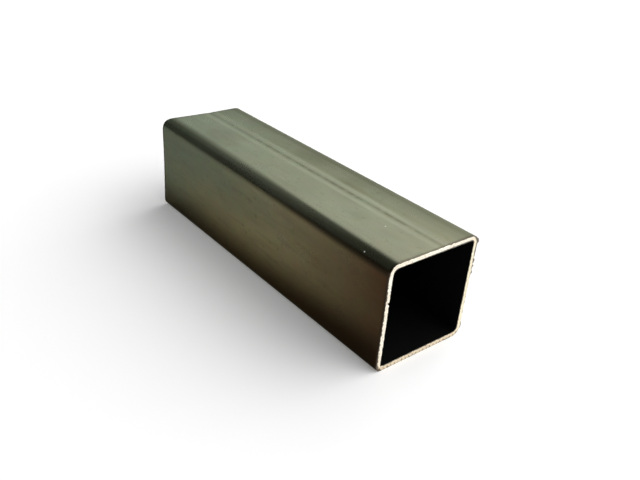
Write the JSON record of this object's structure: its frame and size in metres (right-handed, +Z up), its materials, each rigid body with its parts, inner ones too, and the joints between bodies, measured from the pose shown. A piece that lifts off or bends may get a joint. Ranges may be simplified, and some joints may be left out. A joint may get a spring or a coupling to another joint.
{
  "type": "square metal tube",
  "caption": "Short length of seam-welded square steel tube with rounded corners, sawn square and open at both ends.",
  "frame": {"origin": "middle of the length and of the width, on the underside the tube rests on", "axes": "+X along the tube towards the end nearest the picture's viewer, +Z up through the face with the weld, the weld on the +Y side of that face's middle"},
  "size_m": [0.178, 0.05, 0.05],
  "materials": {
    "mill_steel": "mill finish, lightly oiled, dull greenish grey, with bright sawn ends"
  },
  "bodies": {
    "root": {"square_tube": "mill_steel"}
  },
  "joints": []
}
